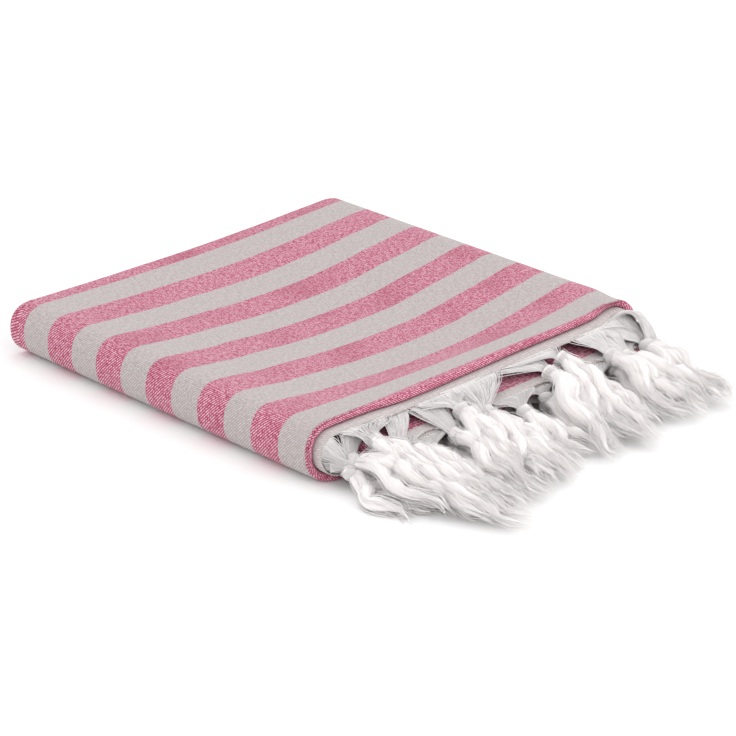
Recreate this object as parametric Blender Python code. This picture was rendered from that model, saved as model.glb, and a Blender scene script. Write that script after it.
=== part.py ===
"""A flat-woven striped towel with knotted fringe, folded into a square pack and lying flat.

The cloth is one sheet. Its length is folded into a stack of six layers, and the width of that
stack is folded in three: a lower panel, a rounded fold on the left, a top panel, a fold on the
right and a panel tucked in between. Both ends of the cloth carry a fringe, gathered in knots.
+X runs along the stripes, -Y is the fringe side and +Z is up. The pack stands on z = 0.
"""

import math
from bisect import bisect_right

import bmesh
import bpy
from mathutils import Vector

# Cloth
CLOTH_THICK = 0.001
LAYERS = 6  # layers in the stack, 0 is the outermost
LEVELS = 3 * LAYERS - 1  # steps from the lowest layer of the pack to the top one
LAYER_PITCH = 0.0022  # spacing of the layers across the side folds

# Plan of the pack
LEFT_AXIS_X = -0.1306  # axis of the big rounded fold
RIGHT_AXIS_X = 0.1395  # axis of the fold that the tucked panel hangs on
LOWER_FREE_X = 0.148  # free edge of the lower panel
TUCKED_FREE_X = -0.118  # free edge of the tucked panel
FRONT_FOLD_Y = -0.1422  # centre of the folds on the fringe side
BACK_FOLD_Y = 0.1452  # centre of the folds at the back
BACK_TOP_Y = 0.1484  # centre of the outermost fold at the back
END_Y = {4: -0.1490, 5: -0.1472}  # where the two ends of the cloth lie, by layer
FRONT_BULGE = 0.70  # depth of the folds on the fringe side, as a share of a half circle

# Height of the top, which sags in the middle
HEIGHT_LEFT = 0.0365
HEIGHT_RIGHT = 0.0390
SAG = 0.0125
SAG_X = 0.008
SAG_REACH_LEFT = 0.150
SAG_REACH_RIGHT = 0.128
SAG_Y = -0.015
SAG_REACH_BACK = 0.190
SAG_FLAT_FRONT = -0.083
SAG_END_FRONT = -0.139
LIP = 0.0028  # the folds on the fringe side stand proud
LIP_Y = -0.141
LIP_WIDTH = 0.011
FALL_Y = -0.147  # past this line the loose ends droop
FALL_SLOPE = 0.30

# The stack's layers are pressed together near the fringe side
PRESS = 0.38
PRESS_FROM_Y = -0.112
PRESS_TO_Y = -0.136
PRESS_SHARE_LEFT = 0.5  # less so at the side of the rounded fold
# The fold on the right is nearly square, and drawn in at its corner on the fringe side
RIGHT_FOLD_SQUARE = 0.58
CORNER_PULL = 0.010
CORNER_FROM_X = 0.088
CORNER_TO_X = 0.150
CORNER_FROM_Y = -0.100
CORNER_TO_Y = -0.146

# Grid of the sheet
PLAN_X = (0.098, 0.060, 0.020, -0.020, -0.060, -0.100)
PLAN_Y = (-0.115, -0.070, -0.025, 0.020, 0.065, 0.110)
LEFT_FOLD_STEPS = 6
RIGHT_FOLD_STEPS = 4
STEPS_PER_LAYER_FOLDED = {1: 3, 3: 5}

# How the length of the cloth runs through the stack: a row for each run of cloth.
# Columns: layer, sense of the run.
RUNS = (
    (4, "back"),
    (3, "front"),
    (0, "back"),
    (1, "front"),
    (2, "back"),
    (5, "front"),
)

# How far parts of the towel have slipped, towards the fringe side or back
TUCKED_SLIP = -0.016
LOWER_SLIP = 0.0
LEFT_SLIP = 0.003

# Fringe
GAP = 0.0003
GAP_IN_RIGHT_FOLD = 0.0026  # wider where the cloth's end runs on a slant
STRIP_DEPTH = 0.0024
STRIP_THICK = 0.001
STRANDS = 3
STRAND_SPACING = 0.0054
ROOT_HALF = 0.022

# Shape of a tassel from its root to its strands. Columns: distance from the strip,
# half width as a share of the root (0 to use the next column), half width, half thickness.
HEAD = (
    (0.009, 0.40, 0.0, 0.0007),
    (0.017, 0.0, 0.0030, 0.0021),
    (0.020, 0.0, 0.0046, 0.0040),
    (0.025, 0.0, 0.0048, 0.0042),
    (0.028, 0.0, 0.0052, 0.0017),
)
# A strand below the knot. Columns: share of the way from the knot to the tip,
# half width, half thickness.
STRAND = (
    (0.11, 0.0021, 0.0017),
    (0.42, 0.0022, 0.0017),
    (0.76, 0.0021, 0.0016),
    (1.00, 0.0011, 0.0008),
)
# Height of a tassel's underside. Columns: distance from the strip, on the top panel,
# on the tucked panel, on the lower panel.
REST = (
    (0.017, 0.0226, 0.0095, 0.0020),
    (0.020, 0.0222, 0.0060, 0.0),
    (0.025, 0.0214, 0.0055, 0.0),
    (0.028, 0.0202, 0.0050, 0.0),
    (0.036, 0.0180, 0.0044, 0.0),
    (0.060, 0.0102, 0.0040, 0.0),
    (0.084, 0.0078, 0.0014, 0.0),
    (0.100, 0.0060, 0.0, 0.0),
)
REST_COLUMN = {"top": 1, "tucked": 2, "lower": 3, "left": 3}
LENGTH = {"top": 0.100, "tucked": 0.092, "lower": 0.082, "left": 0.086}
# The locks on the left lie straighter and so reach further than those on the right
REACH_SLOPE = {"top": -0.060, "tucked": -0.080, "lower": -0.040, "left": 0.0}

# Tassels of the top panel, which show most. Columns: layer of the cloth's end,
# middle of the root, half width of the root, knot, tip (all in x).
TOP_TASSELS = (
    (4, -0.106, 0.022, -0.122, -0.140),
    (5, -0.081, 0.022, -0.104, -0.121),
    (4, -0.056, 0.022, -0.064, -0.099),
    (5, -0.031, 0.022, -0.045, -0.080),
    (4, -0.006, 0.022, -0.026, -0.058),
    (5, 0.019, 0.022, 0.042, 0.008),
    (4, 0.044, 0.022, 0.059, 0.030),
    (5, 0.069, 0.022, 0.076, 0.052),
    (4, 0.092, 0.022, 0.099, 0.082),
    (5, 0.115, 0.019, 0.119, 0.106),
    (4, 0.126, 0.009, 0.136, 0.130),
)
# The two tassels that come out of the rounded fold. Columns: layer, lower and upper angle
# of the root round the fold, knot, tip (in x).
LEFT_TASSELS = (
    (4, 5, 50, -0.1475, -0.1470),
    (5, -50, -5, -0.1295, -0.1290),
)
LEFT_STRIP_ANGLES = (-60, -50, -5, 5, 50, 60)
FAN_APART = 0.0005  # the fans of the two ends part by this much, each way

PINK = (0.60, 0.19, 0.32, 1.0)
WHITE = (0.80, 0.79, 0.78, 1.0)


def lerp(a, b, t):
    return a + (b - a) * t


def smooth(t):
    t = min(1.0, max(0.0, t))
    return t * t * (3 - 2 * t)


def read(rows, column, at):
    """The value in a table's column, read between its rows."""
    places = [row[0] for row in rows]
    i = min(max(bisect_right(places, at), 1), len(rows) - 1)
    a, b = rows[i - 1], rows[i]
    t = min(1.0, max(0.0, (at - a[0]) / (b[0] - a[0])))
    return lerp(a[column], b[column], t)


def top_height(x, y):
    """Height of the pack's top above the floor."""
    reach = SAG_REACH_LEFT if x < SAG_X else SAG_REACH_RIGHT
    across = math.cos(min(1.0, abs(x - SAG_X) / reach) * math.pi / 2)
    if y > SAG_Y:
        along = math.cos(min(1.0, (y - SAG_Y) / SAG_REACH_BACK) * math.pi / 2)
    else:
        along = 1 - smooth((SAG_FLAT_FRONT - y) / (SAG_FLAT_FRONT - SAG_END_FRONT))
    rim = lerp(HEIGHT_LEFT, HEIGHT_RIGHT, (x - LEFT_AXIS_X) / (RIGHT_AXIS_X - LEFT_AXIS_X))
    lip = LIP * math.exp(-(((y - LIP_Y) / LIP_WIDTH) ** 2))
    return rim + lip - SAG * across * along - FALL_SLOPE * max(0.0, FALL_Y - y)


def slip(panel, along):
    """How far a panel's folds and ends are shifted along Y."""
    if panel == "lower":
        return LOWER_SLIP
    if panel == "left":
        return lerp(LOWER_SLIP, LEFT_SLIP, math.cos(math.radians(along)))
    if panel == "right":
        return lerp(0.0, TUCKED_SLIP, (90 - along) / 180)
    return TUCKED_SLIP if panel == "tucked" else 0.0


def squared(value, power):
    """A sine or cosine whose round is made squarer."""
    return math.copysign(abs(value) ** power, value)


def cloth_point(panel, along, y, layer):
    """A point of the cloth's middle surface. along is x, or an angle in the side folds."""
    press = PRESS * smooth((PRESS_FROM_Y - y) / (PRESS_FROM_Y - PRESS_TO_Y))
    if panel == "left":
        press *= lerp(PRESS_SHARE_LEFT, 1.0, math.sin(math.radians(along)) ** 2)
    elif panel == "right":
        press *= smooth((along + 90) / 180)
    elif panel == "tucked":
        press = 0.0
    layer *= 1 - press
    if panel == "left":
        out = LEVELS / 2 - layer
        x = LEFT_AXIS_X - out * LAYER_PITCH * math.cos(math.radians(along))
        level = LEVELS / 2 + out * math.sin(math.radians(along))
    elif panel == "right":
        out = (LAYERS - 0.5) - layer
        turn = math.radians(along)
        x = RIGHT_AXIS_X + out * LAYER_PITCH * squared(math.cos(turn), RIGHT_FOLD_SQUARE)
        level = LEVELS - (LAYERS - 0.5) + out * squared(math.sin(turn), RIGHT_FOLD_SQUARE)
    else:
        x = along
        level = {"lower": layer, "top": LEVELS - layer, "tucked": LAYERS + layer}[panel]
    spread = top_height(x, y) - CLOTH_THICK
    pull = smooth((x - CORNER_FROM_X) / (CORNER_TO_X - CORNER_FROM_X))
    pull *= smooth((CORNER_FROM_Y - y) / (CORNER_FROM_Y - CORNER_TO_Y))
    return Vector((x - CORNER_PULL * pull, y, CLOTH_THICK / 2 + spread * level / LEVELS))


def width_stations():
    """Stations across the cloth, from the lower free edge to the tucked one."""
    left = [-90 + 180 * i / LEFT_FOLD_STEPS for i in range(1, LEFT_FOLD_STEPS)]
    right = [90 - 180 * i / RIGHT_FOLD_STEPS for i in range(1, RIGHT_FOLD_STEPS)]
    lower = (LOWER_FREE_X, RIGHT_AXIS_X) + PLAN_X + (LEFT_AXIS_X,)
    top = (LEFT_AXIS_X,) + PLAN_X[::-1] + (RIGHT_AXIS_X,)
    tucked = (RIGHT_AXIS_X,) + PLAN_X + (TUCKED_FREE_X,)
    stations = [("lower", x) for x in lower]
    stations += [("left", angle) for angle in left]
    stations += [("top", x) for x in top]
    stations += [("right", angle) for angle in right]
    stations += [("tucked", x) for x in tucked]
    return stations


def length_stations():
    """Stations along the cloth: y, layer, and 1 where the station slips with its panel."""
    rows = []
    for i, (layer, sense) in enumerate(RUNS):
        back_y = BACK_TOP_Y if layer in (0, 1) else BACK_FOLD_Y
        run = [(FRONT_FOLD_Y, layer, 1)]
        run += [(y, layer, 0) for y in PLAN_Y]
        run += [(back_y, layer, 1)]
        if layer in END_Y:
            run.insert(0, (END_Y[layer], layer, 1))
        rows += run if sense == "back" else run[::-1]
        if i + 1 < len(RUNS):
            rows += fold_rows(layer, RUNS[i + 1][0], sense)
    return rows


def fold_rows(layer, next_layer, side):
    """The stations of a half-round fold between two runs, without its two ends."""
    half = abs(next_layer - layer) / 2
    steps = STEPS_PER_LAYER_FOLDED[abs(next_layer - layer)]
    centre_y = FRONT_FOLD_Y
    if side == "back":
        centre_y = BACK_TOP_Y if layer in (0, 1) else BACK_FOLD_Y
    sign = 1 if side == "back" else -FRONT_BULGE
    rows = []
    for i in range(1, steps):
        turn = math.pi * i / steps
        y = centre_y + sign * half * LAYER_PITCH * math.sin(turn)
        level = (layer + next_layer) / 2 + (layer - next_layer) / 2 * math.cos(turn)
        rows.append((y, level, 1))
    return rows


def finish(name, bm, colour, roughness):
    """Makes a bmesh into a named object with its own material."""
    bmesh.ops.recalc_face_normals(bm, faces=bm.faces)
    mesh = bpy.data.meshes.new(name)
    bm.to_mesh(mesh)
    bm.free()
    material = bpy.data.materials.new(name)
    material.use_nodes = True
    shader = material.node_tree.nodes["Principled BSDF"]
    shader.inputs["Base Color"].default_value = colour
    shader.inputs["Roughness"].default_value = roughness
    shader.inputs["Metallic"].default_value = 0.0
    mesh.materials.append(material)
    obj = bpy.data.objects.new(name, mesh)
    bpy.context.scene.collection.objects.link(obj)
    return obj


def make_cloth():
    """The whole towel as one folded sheet, thickened on both sides of its middle surface."""
    bm = bmesh.new()
    grid = []
    for panel, along in width_stations():
        shift = slip(panel, along)
        line = []
        for y, layer, slips in length_stations():
            line.append(bm.verts.new(cloth_point(panel, along, y + shift * slips, layer)))
        grid.append(line)
    for near, far in zip(grid, grid[1:]):
        for k in range(len(near) - 1):
            bm.faces.new((near[k], near[k + 1], far[k + 1], far[k]))
    cloth = finish("towel_cloth", bm, PINK, 0.9)
    thicken = cloth.modifiers.new("Thickness", "SOLIDIFY")
    thicken.thickness = CLOTH_THICK
    thicken.offset = 0.0
    return cloth


def frame_angle(panel, along):
    """Turn of the cloth about Y: 0 on the top panel, half a turn on the other two."""
    turns = {"lower": 180, "left": 90 - along, "top": 0, "right": along - 90, "tucked": -180}
    return math.radians(turns[panel])


def axes(angle):
    """Unit vectors across and through the cloth at a turn about Y."""
    across = Vector((math.cos(angle), 0, math.sin(angle)))
    through = Vector((-math.sin(angle), 0, math.cos(angle)))
    return across, through


def spaced_tassels(layer, panel, first, count):
    """A regular row of tassels, whose knots stray a little. Columns as in TOP_TASSELS."""
    rows = []
    for i in range(count):
        root = first - 0.050 * i
        knot = root + 0.0035 * math.sin(2.3 * i + layer)
        rows.append((layer, root, ROOT_HALF, knot, knot - 0.006 - 0.03 * knot))
    return rows


def tassels_of(layer):
    """The tassels on one end of the cloth, in order: panel, from, to, knot, tip."""
    found = []
    lower = spaced_tassels(4, "lower", 0.106, 5) + spaced_tassels(5, "lower", 0.081, 4)
    tucked = spaced_tassels(4, "tucked", 0.081, 4) + spaced_tassels(5, "tucked", 0.106, 5)
    for row_layer, root, half, knot, tip in lower:
        if row_layer == layer:
            found.append(("lower", root + half, root - half, knot, tip))
    for row_layer, low, high, knot, tip in LEFT_TASSELS:
        if row_layer == layer:
            found.append(("left", low, high, knot, tip))
    for row_layer, root, half, knot, tip in TOP_TASSELS:
        if row_layer == layer:
            found.append(("top", root - half, root + half, knot, tip))
    for row_layer, root, half, knot, tip in tucked:
        if row_layer == layer:
            found.append(("tucked", root + half, root - half, knot, tip))
    return found


def strip_stations(layer):
    """Stations of an end's strip, and the tassel that starts at each one, if any."""
    extent = {
        "lower": (LOWER_FREE_X, LEFT_AXIS_X),
        "left": (-90, 90),
        "top": (LEFT_AXIS_X, RIGHT_AXIS_X),
        "right": (90, -90),
        "tucked": (RIGHT_AXIS_X, TUCKED_FREE_X),
    }
    stations = []
    for panel, (start, end) in extent.items():
        rows = [(panel, start, None)]
        for tassel in tassels_of(layer):
            if tassel[0] == panel:
                rows.append((panel, tassel[1], tassel))
                rows.append((panel, tassel[2], None))
        if panel == "left":
            taken = {row[1] for row in rows}
            rows += [(panel, angle, None) for angle in LEFT_STRIP_ANGLES if angle not in taken]
        if panel == "right":
            rows += [(panel, angle, None) for angle in (45, 0, -45)]
        sense = 1 if end > start else -1
        rows.sort(key=lambda row: sense * row[1])
        rows = [row for row in rows if row[2] or not inside_root(row, rows)]
        stations += rows
    stations.append(("tucked", TUCKED_FREE_X, None))
    return stations


def inside_root(row, rows):
    """Whether a plain station lies within some tassel's root."""
    spans = [(min(r[2][1:3]), max(r[2][1:3])) for r in rows if r[2]]
    return any(low < row[1] < high for low, high in spans)


def quad(centre, across, through, half_width, half_thick):
    a, b = across * half_width, through * half_thick
    return [centre - a + b, centre + a + b, centre + a - b, centre - a - b]


def loft(bm, rings):
    """Joins rings of four points, each a list of vertices, with quads."""
    for near, far in zip(rings, rings[1:]):
        for i in range(4):
            j = (i + 1) % 4
            bm.faces.new((near[i], near[j], far[j], far[i]))


def tassel_point(panel, root, distance, length, knot, tip, half_height):
    """The middle of a tassel at a distance from its strip."""
    to_knot = smooth(distance / HEAD[1][0])
    to_tip = smooth((distance - HEAD[-1][0]) / (length - HEAD[-1][0]))
    x = lerp(lerp(root.x, knot, to_knot), tip, to_tip)
    z = read(REST, REST_COLUMN[panel], distance) + half_height
    return Vector((x, root.y - distance, z))


def make_tassel(bm, tassel, layer, root_ring, root):
    """A fan of warp gathered into a knot, and the strands below it."""
    panel, start, end, knot, tip = tassel
    length = LENGTH[panel] + REACH_SLOPE[panel] * knot
    stretch = 1.5 if panel == "left" else 1.0
    root_half = (root_ring[0].co - root_ring[1].co).length / 2
    turn = frame_angle(panel, (start + end) / 2)
    final_turn = math.pi * round(turn / math.pi + (0.01 if layer == 5 else -0.01))
    rings = [root_ring]
    for i, (distance, share, half_width, half_thick) in enumerate(HEAD):
        distance *= stretch
        across, through = axes(lerp(turn, final_turn, smooth(i / 3)))
        width = share * root_half + half_width
        half_height = abs(across.z) * width + abs(through.z) * half_thick
        centre = tassel_point(panel, root, distance, length, knot, tip, half_height)
        if i == 0:
            centre.z = root.z + fan_drop(panel, (start + end) / 2, root, distance, layer)
            centre += through * (FAN_APART if layer == 4 else -FAN_APART)
        ring = quad(centre, across, through, width, half_thick)
        if i < len(HEAD) - 1:
            rings.append([bm.verts.new(point) for point in ring])
    loft(bm, rings)
    split = [ring[0].lerp(ring[1], k / STRANDS) for k in range(STRANDS + 1)]
    split_low = [ring[3].lerp(ring[2], k / STRANDS) for k in range(STRANDS + 1)]
    high = [bm.verts.new(point) for point in split]
    low = [bm.verts.new(point) for point in split_low]
    last = rings[-1]
    bm.faces.new([last[0], last[1]] + high[::-1])
    bm.faces.new([last[2], last[3]] + low)
    bm.faces.new((last[1], last[2], low[-1], high[-1]))
    bm.faces.new((last[3], last[0], high[0], low[0]))
    from_knot = HEAD[-1][0] * stretch
    for k in range(STRANDS):
        strand = [[high[k], high[k + 1], low[k + 1], low[k]]]
        side = (k - (STRANDS - 1) / 2) * across.x
        for share, half_width, half_thick in STRAND:
            distance = lerp(from_knot, length, share)
            centre = tassel_point(panel, root, distance, length, knot, tip, half_thick)
            centre.x += side * STRAND_SPACING
            ring = quad(centre, across, through, half_width, half_thick)
            strand.append([bm.verts.new(point) for point in ring])
        loft(bm, strand)
        bm.faces.new(strand[-1][::-1])


def fan_drop(panel, along, root, distance, layer):
    """How far the cloth's own slope carries a fan down over a distance."""
    near = cloth_point(panel, along, root.y, layer).z
    far = cloth_point(panel, along, root.y - distance, layer).z
    return far - near


def make_fringe(name, layer):
    """The fringe on one end of the cloth: its strip and all its tassels, as one solid."""
    bm = bmesh.new()
    rings, roots = [], []
    for panel, along, tassel in strip_stations(layer):
        gap = GAP_IN_RIGHT_FOLD if panel == "right" else GAP
        near_y = END_Y[layer] + slip(panel, along) - gap
        far_y = near_y - STRIP_DEPTH
        near = cloth_point(panel, along, near_y, layer)
        far = cloth_point(panel, along, far_y, layer)
        _, through = axes(frame_angle(panel, along))
        half = through * STRIP_THICK / 2
        corners = (near + half, far + half, far - half, near - half)
        rings.append([bm.verts.new(point) for point in corners])
        roots.append(tassel)
    for i, (ring, following) in enumerate(zip(rings, rings[1:])):
        for j in range(4):
            if j == 1 and roots[i]:
                root_ring = [ring[1], following[1], following[2], ring[2]]
                root = sum((v.co for v in root_ring), Vector()) / 4
                make_tassel(bm, roots[i], layer, root_ring, root)
            else:
                k = (j + 1) % 4
                bm.faces.new((ring[j], ring[k], following[k], following[j]))
    bm.faces.new(rings[0])
    bm.faces.new(rings[-1][::-1])
    return finish(name, bm, WHITE, 0.85)


def main():
    for obj in list(bpy.data.objects):
        bpy.data.objects.remove(obj)
    make_cloth()
    make_fringe("fringe_first_end", 4)
    make_fringe("fringe_second_end", 5)


main()
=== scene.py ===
"""A folded flat-woven towel with pink and grey stripes and a knotted white fringe."""

import math
import random

import bpy
from bpy.props import FloatProperty, FloatVectorProperty, IntProperty, PointerProperty
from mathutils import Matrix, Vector


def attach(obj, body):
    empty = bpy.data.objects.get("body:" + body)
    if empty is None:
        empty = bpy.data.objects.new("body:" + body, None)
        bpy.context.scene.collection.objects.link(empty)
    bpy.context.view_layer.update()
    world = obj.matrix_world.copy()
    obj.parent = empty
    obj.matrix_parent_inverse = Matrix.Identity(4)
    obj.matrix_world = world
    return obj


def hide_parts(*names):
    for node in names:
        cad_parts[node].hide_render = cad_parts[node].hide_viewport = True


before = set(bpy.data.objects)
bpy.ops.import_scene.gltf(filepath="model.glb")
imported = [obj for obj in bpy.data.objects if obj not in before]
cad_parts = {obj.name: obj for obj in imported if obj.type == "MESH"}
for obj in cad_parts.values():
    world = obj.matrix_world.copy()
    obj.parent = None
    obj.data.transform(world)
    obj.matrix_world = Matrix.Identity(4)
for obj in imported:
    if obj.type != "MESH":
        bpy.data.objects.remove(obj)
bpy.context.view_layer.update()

bl_info = {
    "name": "Folded Striped Towel",
    "version": (1, 0, 0),
    "blender": (4, 5, 0),
    "location": "View3D > Sidebar > Towel",
    "description": "Builds a folded flat-woven towel with a knotted fringe, and its studio",
    "category": "Object",
}

# The fold
LAYERS = 6
LEVELS = 3 * LAYERS - 1
LAYER_PITCH = 0.0022
LEFT_AXIS_X = -0.1306
RIGHT_AXIS_X = 0.1395
LOWER_FREE_X = 0.148
TUCKED_FREE_X = -0.118
FRONT_FOLD_Y = -0.1422
BACK_FOLD_Y = 0.1452
BACK_TOP_Y = 0.1484
END_Y = {4: -0.1490, 5: -0.1472}
FRONT_BULGE = 0.70
TUCKED_SLIP = -0.016
LOWER_SLIP = 0.0
LEFT_SLIP = 0.0042
LEFT_DRAW = 0.0025
LEFT_DRAW_X = -0.080
RIGHT_DRAW = 0.0042
RIGHT_DRAW_X = 0.108
# The top's folds over the fringe are drawn back unevenly, more than the cloth's ends. Rows: x, by
FOLD_DRAW = (
    (-0.131, 0.0032),
    (-0.095, 0.0040),
    (-0.070, 0.0008),
    (-0.045, 0.0008),
    (0.030, 0.0035),
    (0.085, 0.0046),
    (0.140, 0.0046),
)
LEFT_FOLD_DRAW = 0.0024
FOLD_DRAW_FROM_Y = -0.149
FOLD_DRAW_OVER = 0.004
# The order of the layers along the cloth, and the side that each runs to
RUNS = ((4, "back"), (3, "front"), (0, "back"), (1, "front"), (2, "back"), (5, "front"))

# Height of the top
HEIGHT_LEFT = 0.0365
HEIGHT_RIGHT = 0.0390
SAG = 0.0125
SAG_X = 0.008
SAG_REACH_LEFT = 0.150
SAG_REACH_RIGHT = 0.128
SAG_Y = -0.015
SAG_REACH_BACK = 0.190
SAG_FLAT_FRONT = -0.083
SAG_END_FRONT = -0.139
LIP = 0.0028
LIP_Y = -0.141
LIP_WIDTH = 0.011
FALL_Y = -0.147
FALL_SLOPE = 0.30

# The stack's layers are pressed together near the fringe side
PRESS = 0.38
PRESS_CORNER = 0.50
PRESS_FROM_Y = -0.112
PRESS_TO_Y = -0.136
# Side folds: the axis in x, the side they bulge to, layers from the axis to the outermost, the
# axis's level, and a power that is smaller for a squarer fold
SIDE_FOLDS = {
    "left": (LEFT_AXIS_X, -1, LEVELS / 2, LEVELS / 2, 0.84),
    "right": (RIGHT_AXIS_X, 1, LAYERS - 0.5, LEVELS - (LAYERS - 0.5), 0.58),
}
# The right fold is drawn in at its corner on the fringe side
CORNER_PULL = 0.0075
CORNER_FROM_X = 0.088
CORNER_TO_X = 0.150
CORNER_FROM_Y = -0.100
CORNER_TO_Y = -0.146
# The loose end of the cloth waves a little
END_WAVE = 0.0014
END_WAVE_OVER = 0.006
END_WAVE_SHORT = 0.011
END_WAVE_LONG = 0.023

# Soft creases of the top. Columns: x, y, direction in degrees, half length, half width, height
CREASES = (
    (-0.060, 0.050, 78, 0.090, 0.016, 0.0006),
    (0.050, -0.020, 100, 0.110, 0.020, -0.0007),
    (0.095, 0.060, 85, 0.080, 0.013, 0.0006),
    (-0.020, -0.105, 8, 0.070, 0.012, 0.0007),
    (0.080, -0.118, -6, 0.050, 0.010, -0.0006),
    (-0.095, -0.040, 95, 0.080, 0.012, -0.0006),
    (0.130, -0.128, 90, 0.026, 0.018, 0.0020),
)
CREASE_WANDER = 0.006
CREASE_WANDER_LENGTH = 0.028

# Steps of the fine sheet
COARSE_STEP = 0.012
FINE_STEP = 0.004
END_STEP = 0.003
LEFT_FOLD_STEPS = 26
RIGHT_FOLD_STEPS = 12
STEPS_PER_LAYER_FOLDED = {1: 8, 3: 16}

# Stripes: where the first boundary lies on the top, and the ends' grey bands
FIRST_BOUNDARY_Y = 0.13825
FIRST_END_STRIPE = 34.22
SECOND_END_STRIPE = -35.22
# Painted light: from this stripe's place on, the grey end bands are mixed by this share towards a
# light colour, against the shade under the top's folds and the fringe
PAINTED_LIGHT_FROM_STRIPE = 33.98
PAINTED_LIGHT_SHARE = 0.18
DARK_PINK = (0.25, 0.02, 0.06)
# How much finer the pattern of slubs is than the towel, across it, along it and through it
SLUB_STRETCH = (1050.0, 230.0, 1.0)
WEFT_STRETCH = (260.0, 1150.0, 1.0)

# Height of a tassel's underside, as in the solids. Columns: distance from the cloth's end, on
# the top panel, on the tucked panel, on the lower panel
REST = (
    (0.017, 0.0226, 0.0095, 0.0020),
    (0.020, 0.0222, 0.0060, 0.0),
    (0.025, 0.0214, 0.0055, 0.0),
    (0.028, 0.0202, 0.0050, 0.0),
    (0.036, 0.0180, 0.0044, 0.0),
    (0.060, 0.0102, 0.0040, 0.0),
    (0.084, 0.0078, 0.0014, 0.0),
    (0.100, 0.0060, 0.0, 0.0),
)
REST_COLUMN = {"top": 1, "tucked": 2, "lower": 3, "left": 3}

# Tassels, each a row: layer of the cloth's end, root from and to (x, or an angle round the
# rounded fold), knot (x, distance from the end, height), tip (x, distance from the end), locks
TOP_TASSELS = (
    (5, -0.128, -0.104, -0.1280, 0.0130, 0.0160, -0.1180, 0.090, 3),
    (4, -0.130, -0.092, -0.1120, 0.0120, 0.0245, -0.1050, 0.131, 4),
    (5, -0.096, -0.074, -0.0960, 0.0220, 0.0160, -0.0860, 0.124, 3),
    (5, -0.072, -0.048, -0.0570, 0.0290, 0.0170, -0.0760, 0.112, 3),
    (4, -0.068, -0.028, -0.0440, 0.0180, 0.0265, -0.0620, 0.106, 3),
    (4, -0.034, 0.006, -0.0280, 0.0250, 0.0220, -0.0450, 0.102, 3),
    (5, 0.004, 0.040, 0.0440, 0.0170, 0.0240, 0.0160, 0.101, 3),
    (4, 0.012, 0.062, 0.0590, 0.0100, 0.0285, 0.0360, 0.104, 3),
    (4, 0.080, 0.106, 0.0950, 0.0200, 0.0230, 0.0860, 0.099, 3),
    (5, 0.092, 0.122, 0.1060, 0.0290, 0.0205, 0.1080, 0.100, 3),
    (4, 0.102, 0.139, 0.1300, 0.0230, 0.0205, 0.1220, 0.097, 3),
)
LEFT_TASSELS = (
    (4, 0, 62, -0.1330, 0.0150, 0.0110, -0.1300, 0.084, 3),
    (5, -55, 5, -0.1260, 0.0180, 0.0075, -0.1160, 0.082, 3),
)
# Loose threads over the corners: start from and to, a point they bend over, end from and to,
# and how many, for each layer of the cloth's end
LOOSE_THREADS = {
    4: (
        ((0.104, -0.149, 0.034), (0.1360, -0.1495, 0.031), (0.140, -0.158, 0.033),
         (0.126, -0.171, 0.022), (0.142, -0.172, 0.012), 90),
        ((0.1160, -0.1465, 0.0356), (0.1362, -0.1460, 0.0310), (0.1410, -0.1530, 0.0540),
         (0.1270, -0.1705, 0.0240), (0.1450, -0.1700, 0.0100), 210),
        ((-0.131, -0.149, 0.032), (-0.100, -0.149, 0.034), (-0.122, -0.154, 0.034),
         (-0.118, -0.160, 0.024), (-0.108, -0.162, 0.026), 70),
    ),
    5: (
        ((0.136, -0.150, 0.030), (0.139, -0.160, 0.018), (0.149, -0.162, 0.024),
         (0.138, -0.178, 0.014), (0.150, -0.176, 0.006), 90),
        ((-0.1425, -0.149, 0.026), (-0.1405, -0.149, 0.010), (-0.139, -0.160, 0.020),
         (-0.128, -0.162, 0.015), (-0.124, -0.166, 0.006), 90),
    ),
}
# The even rows that the top hides: panel, layer, first root, count, knot's height and distance
EVEN_ROWS = (
    ("lower", 4, 0.106, 5, 0.0052, 0.020),
    ("lower", 5, 0.081, 4, 0.0052, 0.022),
    ("tucked", 4, 0.081, 4, 0.0125, 0.008),
    ("tucked", 5, 0.106, 5, 0.0135, 0.010),
)
ROOT_SPACING = 0.050
ROOT_HALF = 0.021
EVEN_KNOT_STRAY = 0.008
EVEN_AWAY_STRAY = 0.004
EVEN_TIP_SHIFT = 0.008
EVEN_TIP_STRAY = 0.005
EVEN_REACH = 0.080
EVEN_REACH_SLOPE = {"tucked": 0.10, "lower": 0.05}
HIDDEN_SHARE = 0.5

# Fans, the web under them, and loose threads. A pair is the least and the most of a random value
FAN_STEPS = 9
FAN_INSET = 0.0005
FAN_ROOT_DEPTH = 0.0015
FAN_ROOT_STRAY = (-0.0003, 0.0002)
FAN_LEVEL = 0.0085
FAN_ENTRY_HALF = 0.0034
FAN_MIDDLE_HALF = 0.0018
FAN_BEND = 0.0040
FAN_ARCH = 0.0022
FAN_RISE = (0.0002, 0.0016)
FAN_SWAY = 0.0016
FAN_STRAY_SHARE = 0.22
FAN_STRAY = 0.30
WEB_COLUMNS = 30
WEB_WAVE = 0.0003
WEB_FIBRES_ACROSS = 0.036
WEB_FIBRES_ALONG = 0.0003
LOOSE_STEPS = 12
LOOSE_STRAY_NEAR = 0.0016
LOOSE_STRAY_FAR = 0.0020
# Knots. A pair is the least and the most of a random value
KNOT_HALF = 0.0052
HEADING_REACH = 0.015
KNOT_FALL_OVER = 0.016
WRAP_STEPS = 30
WRAP_TURNS = (1.1, 1.45)
WRAP_TILT = (0.0012, 0.0026)
WRAP_GIRTH = (0.0022, 0.0031)
WRAP_LUMP = (0.0004, 0.0010)
WRAP_HALF = 0.0030
WRAP_WIDE = 1.15
WRAP_TALL = 0.85
FLOOR_GAP = 0.0003
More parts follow.
